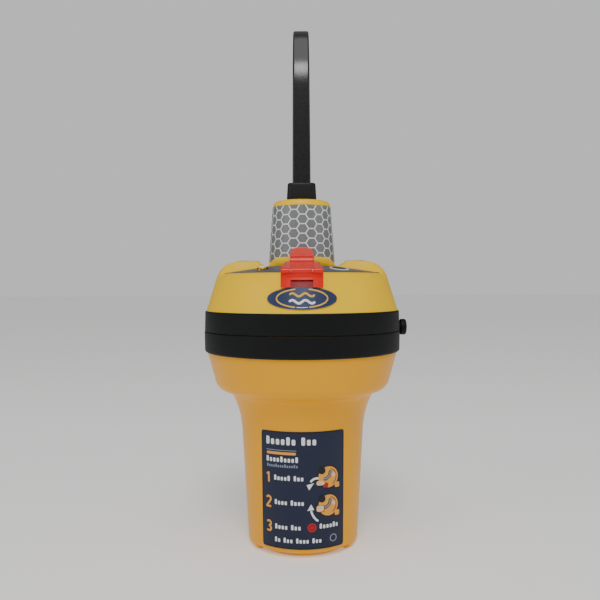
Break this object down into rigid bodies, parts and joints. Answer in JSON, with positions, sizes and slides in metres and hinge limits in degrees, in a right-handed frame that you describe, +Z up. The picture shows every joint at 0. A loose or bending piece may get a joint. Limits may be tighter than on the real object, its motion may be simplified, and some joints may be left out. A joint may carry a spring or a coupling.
{
  "type": "emergency position beacon",
  "caption": "Hand-sized floating distress beacon: waisted grip, flared float bowl with bumper band, keyed cap with guarded key, strobe humps and a stowed blade whip.",
  "frame": {"origin": "centre of the flat base, on the axis of the grip", "axes": "+Z up along the beacon's axis, front with the label and the guarded key towards -Y, lanyard knob towards +X"},
  "size_m": [0.1005, 0.1029, 0.2617],
  "materials": {
    "float_yellow": "moulded, satin",
    "cap_yellow": "moulded, satin",
    "black_bumper": "fine matt",
    "seal_rubber": "matt",
    "reflective_tape": "retroreflective, honeycomb cells",
    "boot_rubber": "satin",
    "brass": "machined",
    "wire_insulation": "extruded",
    "blade_black": "smooth, glossy",
    "guard_red": "moulded, translucent",
    "steel": "satin",
    "overlay_grey": "printed film",
    "key_red": "moulded silicone",
    "key_green": "moulded silicone",
    "key_white": "moulded",
    "gold_contact": "plated",
    "indicator_lens": "diffusing",
    "strobe_lens": "polished",
    "lamp_yellow": "phosphor and white package",
    "badge_navy": "printed, domed",
    "label_navy": "printed film",
    "label_white": "printed film",
    "cell_wrap": "shrink sleeve",
    "inner_black": "moulded",
    "board_green": "solder mask",
    "shield_tin": "tinned",
    "patch_ceramic": "fired"
  },
  "bodies": {
    "root": {"lower_case": "float_yellow", "upper_case": "cap_yellow", "band_lower": "black_bumper", "band_upper": "black_bumper", "case_seal": "seal_rubber", "reflective_tape": "reflective_tape", "antenna_boot": "boot_rubber", "antenna_stud": "brass", "feed_wire": "wire_insulation", "whip_root": "blade_black", "stow_clip": "black_bumper", "guard_base": "guard_red", "guard_pin": "steel", "guard_catch": "cap_yellow", "key_overlay": "overlay_grey", "key_switches": "key_white", "indicator_bezel": "gold_contact", "indicator_lens": "indicator_lens", "strobe_lens_left": "strobe_lens", "strobe_lens_right": "strobe_lens", "strobe_lamps": "lamp_yellow", "badge": "badge_navy", "front_label": "label_navy", "rear_label": "label_white", "lanyard_knob": "black_bumper", "sea_contacts": "steel", "battery_cells": "cell_wrap", "battery_holder": "inner_black", "battery_clamp": "inner_black", "main_board": "board_green", "rf_shield": "shield_tin", "buzzer": "inner_black", "top_board": "board_green", "gps_patch": "patch_ceramic", "board_screws": "steel"},
    "guard": {"guard": "guard_red"},
    "on_key": {"on_key": "key_red"},
    "test_key": {"test_key": "key_green"},
    "whip_1": {"whip_1": "blade_black"},
    "whip_2": {"whip_2": "blade_black"},
    "whip_3": {"whip_3": "blade_black"},
    "whip_4": {"whip_4": "blade_black"},
    "whip_5": {"whip_5": "blade_black"},
    "whip_6": {"whip_6": "blade_black", "whip_tip": "blade_black"}
  },
  "joints": [
    {"name": "guard_hinge", "type": "hinge", "parent": "root", "child": "guard", "pos_m": [0, -0.043, 0.1327], "axis": [1, 0, 0], "range_deg": [0, 115]},
    {"name": "on_press", "type": "slide", "parent": "root", "child": "on_key", "axis": [0, 0, -1], "range_m": [0, 0.001], "stiffness_N_per_m": 900},
    {"name": "test_press", "type": "slide", "parent": "root", "child": "test_key", "axis": [0, 0, -1], "range_m": [0, 0.001], "stiffness_N_per_m": 600},
    {"name": "whip_bend_1", "type": "hinge", "parent": "root", "child": "whip_1", "pos_m": [0, 0, 0.23546], "axis": [1, 0, 0], "range_deg": [0, 30]},
    {"name": "whip_bend_2", "type": "hinge", "parent": "whip_1", "child": "whip_2", "pos_m": [0, 0.01118, 0.25482], "axis": [1, 0, 0], "range_deg": [0, 30]},
    {"name": "whip_bend_3", "type": "hinge", "parent": "whip_2", "child": "whip_3", "pos_m": [0, 0.02119, 0.2606], "axis": [1, 0, 0], "range_deg": [0, 30]},
    {"name": "whip_bend_4", "type": "hinge", "parent": "whip_3", "child": "whip_4", "pos_m": [0, 0.03001, 0.2606], "axis": [1, 0, 0], "range_deg": [0, 30]},
    {"name": "whip_bend_5", "type": "hinge", "parent": "whip_4", "child": "whip_5", "pos_m": [0, 0.04002, 0.25482], "axis": [1, 0, 0], "range_deg": [0, 30]},
    {"name": "whip_bend_6", "type": "hinge", "parent": "whip_5", "child": "whip_6", "pos_m": [0, 0.0512, 0.23546], "axis": [1, 0, 0], "range_deg": [0, 30]}
  ],
  "couplings": [
    {"joint": "whip_bend_2", "follows": "whip_bend_1", "ratio": 1},
    {"joint": "whip_bend_3", "follows": "whip_bend_1", "ratio": 1},
    {"joint": "whip_bend_4", "follows": "whip_bend_1", "ratio": 1},
    {"joint": "whip_bend_5", "follows": "whip_bend_1", "ratio": 1},
    {"joint": "whip_bend_6", "follows": "whip_bend_1", "ratio": 1}
  ]
}
